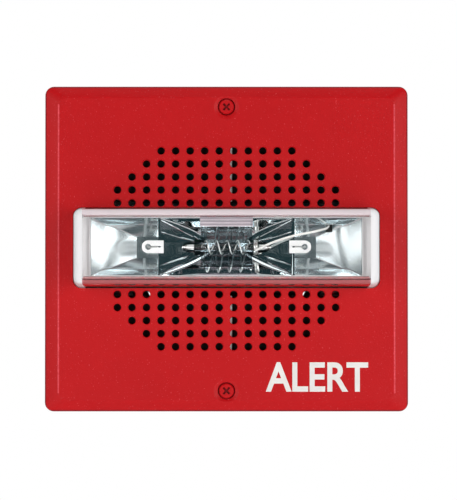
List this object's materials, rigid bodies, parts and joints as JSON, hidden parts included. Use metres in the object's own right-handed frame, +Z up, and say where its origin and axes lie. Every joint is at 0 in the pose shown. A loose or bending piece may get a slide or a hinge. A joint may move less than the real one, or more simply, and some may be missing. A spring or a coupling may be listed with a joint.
{
  "type": "horn strobe",
  "caption": "Wall-mounted fire alarm sounder with a drilled red cover, a clear strobe lens across the middle and a flush box driver behind.",
  "frame": {"origin": "centre of the wall plane, on the driver's axis; the cover's rim and the mounting plate's back lie in y = 0", "axes": "+Z up, -Y out of the wall towards the viewer, +X to the viewer's right; y > 0 is inside the electrical box"},
  "size_m": [0.1334, 0.0797, 0.1194],
  "materials": {
    "cover_red": "fine moulded texture, satin red",
    "screw_red": "red painted steel",
    "dust_cloth": "black open-weave cloth",
    "zinc_plate": "zinc-plated steel",
    "lens_clear": "clear polished polycarbonate",
    "tube_glass": "clear glass",
    "tray_black": "black moulded plastic",
    "steel_screw": "zinc-plated steel",
    "chrome_reflector": "vacuum-metallised mirror",
    "tinned_metal": "tinned metal",
    "lead_white": "white silicone insulation",
    "white_plastic": "off-white moulded plastic",
    "board_green": "green solder mask on glass fibre",
    "capacitor_sleeve": "dark shrink sleeve",
    "ferrite": "sintered ferrite",
    "cone_paper": "doped black paper",
    "surround_rubber": "black rubber",
    "spider_cloth": "resin-treated yellow-brown cloth",
    "coil_copper": "enamelled copper wire",
    "motor_steel": "zinc-plated steel",
    "core_steel": "varnished laminated steel",
    "terminal_green": "green moulded plastic"
  },
  "bodies": {
    "housing": {"front_cover": "cover_red", "cover_screw_top": "screw_red", "cover_screw_bottom": "screw_red", "dust_cloth_upper": "dust_cloth", "dust_cloth_lower": "dust_cloth", "cloth_strap_upper": "zinc_plate", "cloth_strap_lower": "zinc_plate", "mounting_plate": "zinc_plate", "driver_basket": "zinc_plate", "strobe_lens": "lens_clear", "flash_tube": "tube_glass", "controller_chip": "tray_black", "candela_switch": "tray_black", "base_socket": "tray_black", "tap_switch": "tray_black", "tray_screw_1": "steel_screw", "tray_screw_2": "steel_screw", "tray_screw_3": "steel_screw", "tray_screw_4": "steel_screw", "driver_screw_1": "steel_screw", "driver_screw_2": "steel_screw", "driver_screw_3": "steel_screw", "driver_screw_4": "steel_screw", "screw_bush_top": "steel_screw", "screw_bush_bottom": "steel_screw", "terminal_screw_1": "steel_screw", "terminal_screw_2": "steel_screw", "terminal_screw_3": "steel_screw", "terminal_screw_4": "steel_screw", "reflector": "chrome_reflector", "electrode_left": "tinned_metal", "electrode_right": "tinned_metal", "trigger_wire": "tinned_metal", "trigger_lead": "lead_white", "strobe_tray": "white_plastic", "trigger_coil": "white_plastic", "strobe_plug": "white_plastic", "tube_clip_left": "white_plastic", "tube_clip_right": "white_plastic", "strobe_board": "board_green", "flash_capacitor": "capacitor_sleeve", "power_inductor": "ferrite", "magnet": "ferrite", "driver_surround": "surround_rubber", "spider": "spider_cloth", "transformer_winding": "coil_copper", "trigger_band": "coil_copper", "top_plate": "motor_steel", "magnet_yoke": "motor_steel", "transformer_core": "core_steel", "terminal_block": "terminal_green"},
    "cone_assembly": {"driver_cone": "cone_paper", "dust_cap": "cone_paper", "voice_coil": "coil_copper"},
    "candela_slider": {"candela_slider": "white_plastic"},
    "tap_knob": {"tap_knob": "white_plastic"}
  },
  "joints": [
    {"name": "cone_travel", "type": "slide", "parent": "housing", "child": "cone_assembly", "axis": [0, -1, 0], "range_m": [-0.0008, 0.0008], "stiffness_N_per_m": 1500, "deforming": ["driver_surround", "spider"]},
    {"name": "candela_select", "type": "slide", "parent": "housing", "child": "candela_slider", "axis": [0, 0, 1], "range_m": [0, 0.0072]},
    {"name": "tap_select", "type": "hinge", "parent": "housing", "child": "tap_knob", "pos_m": [-0.039, 0.005, -0.039], "axis": [0, 1, 0], "range_deg": [0, 90]}
  ]
}
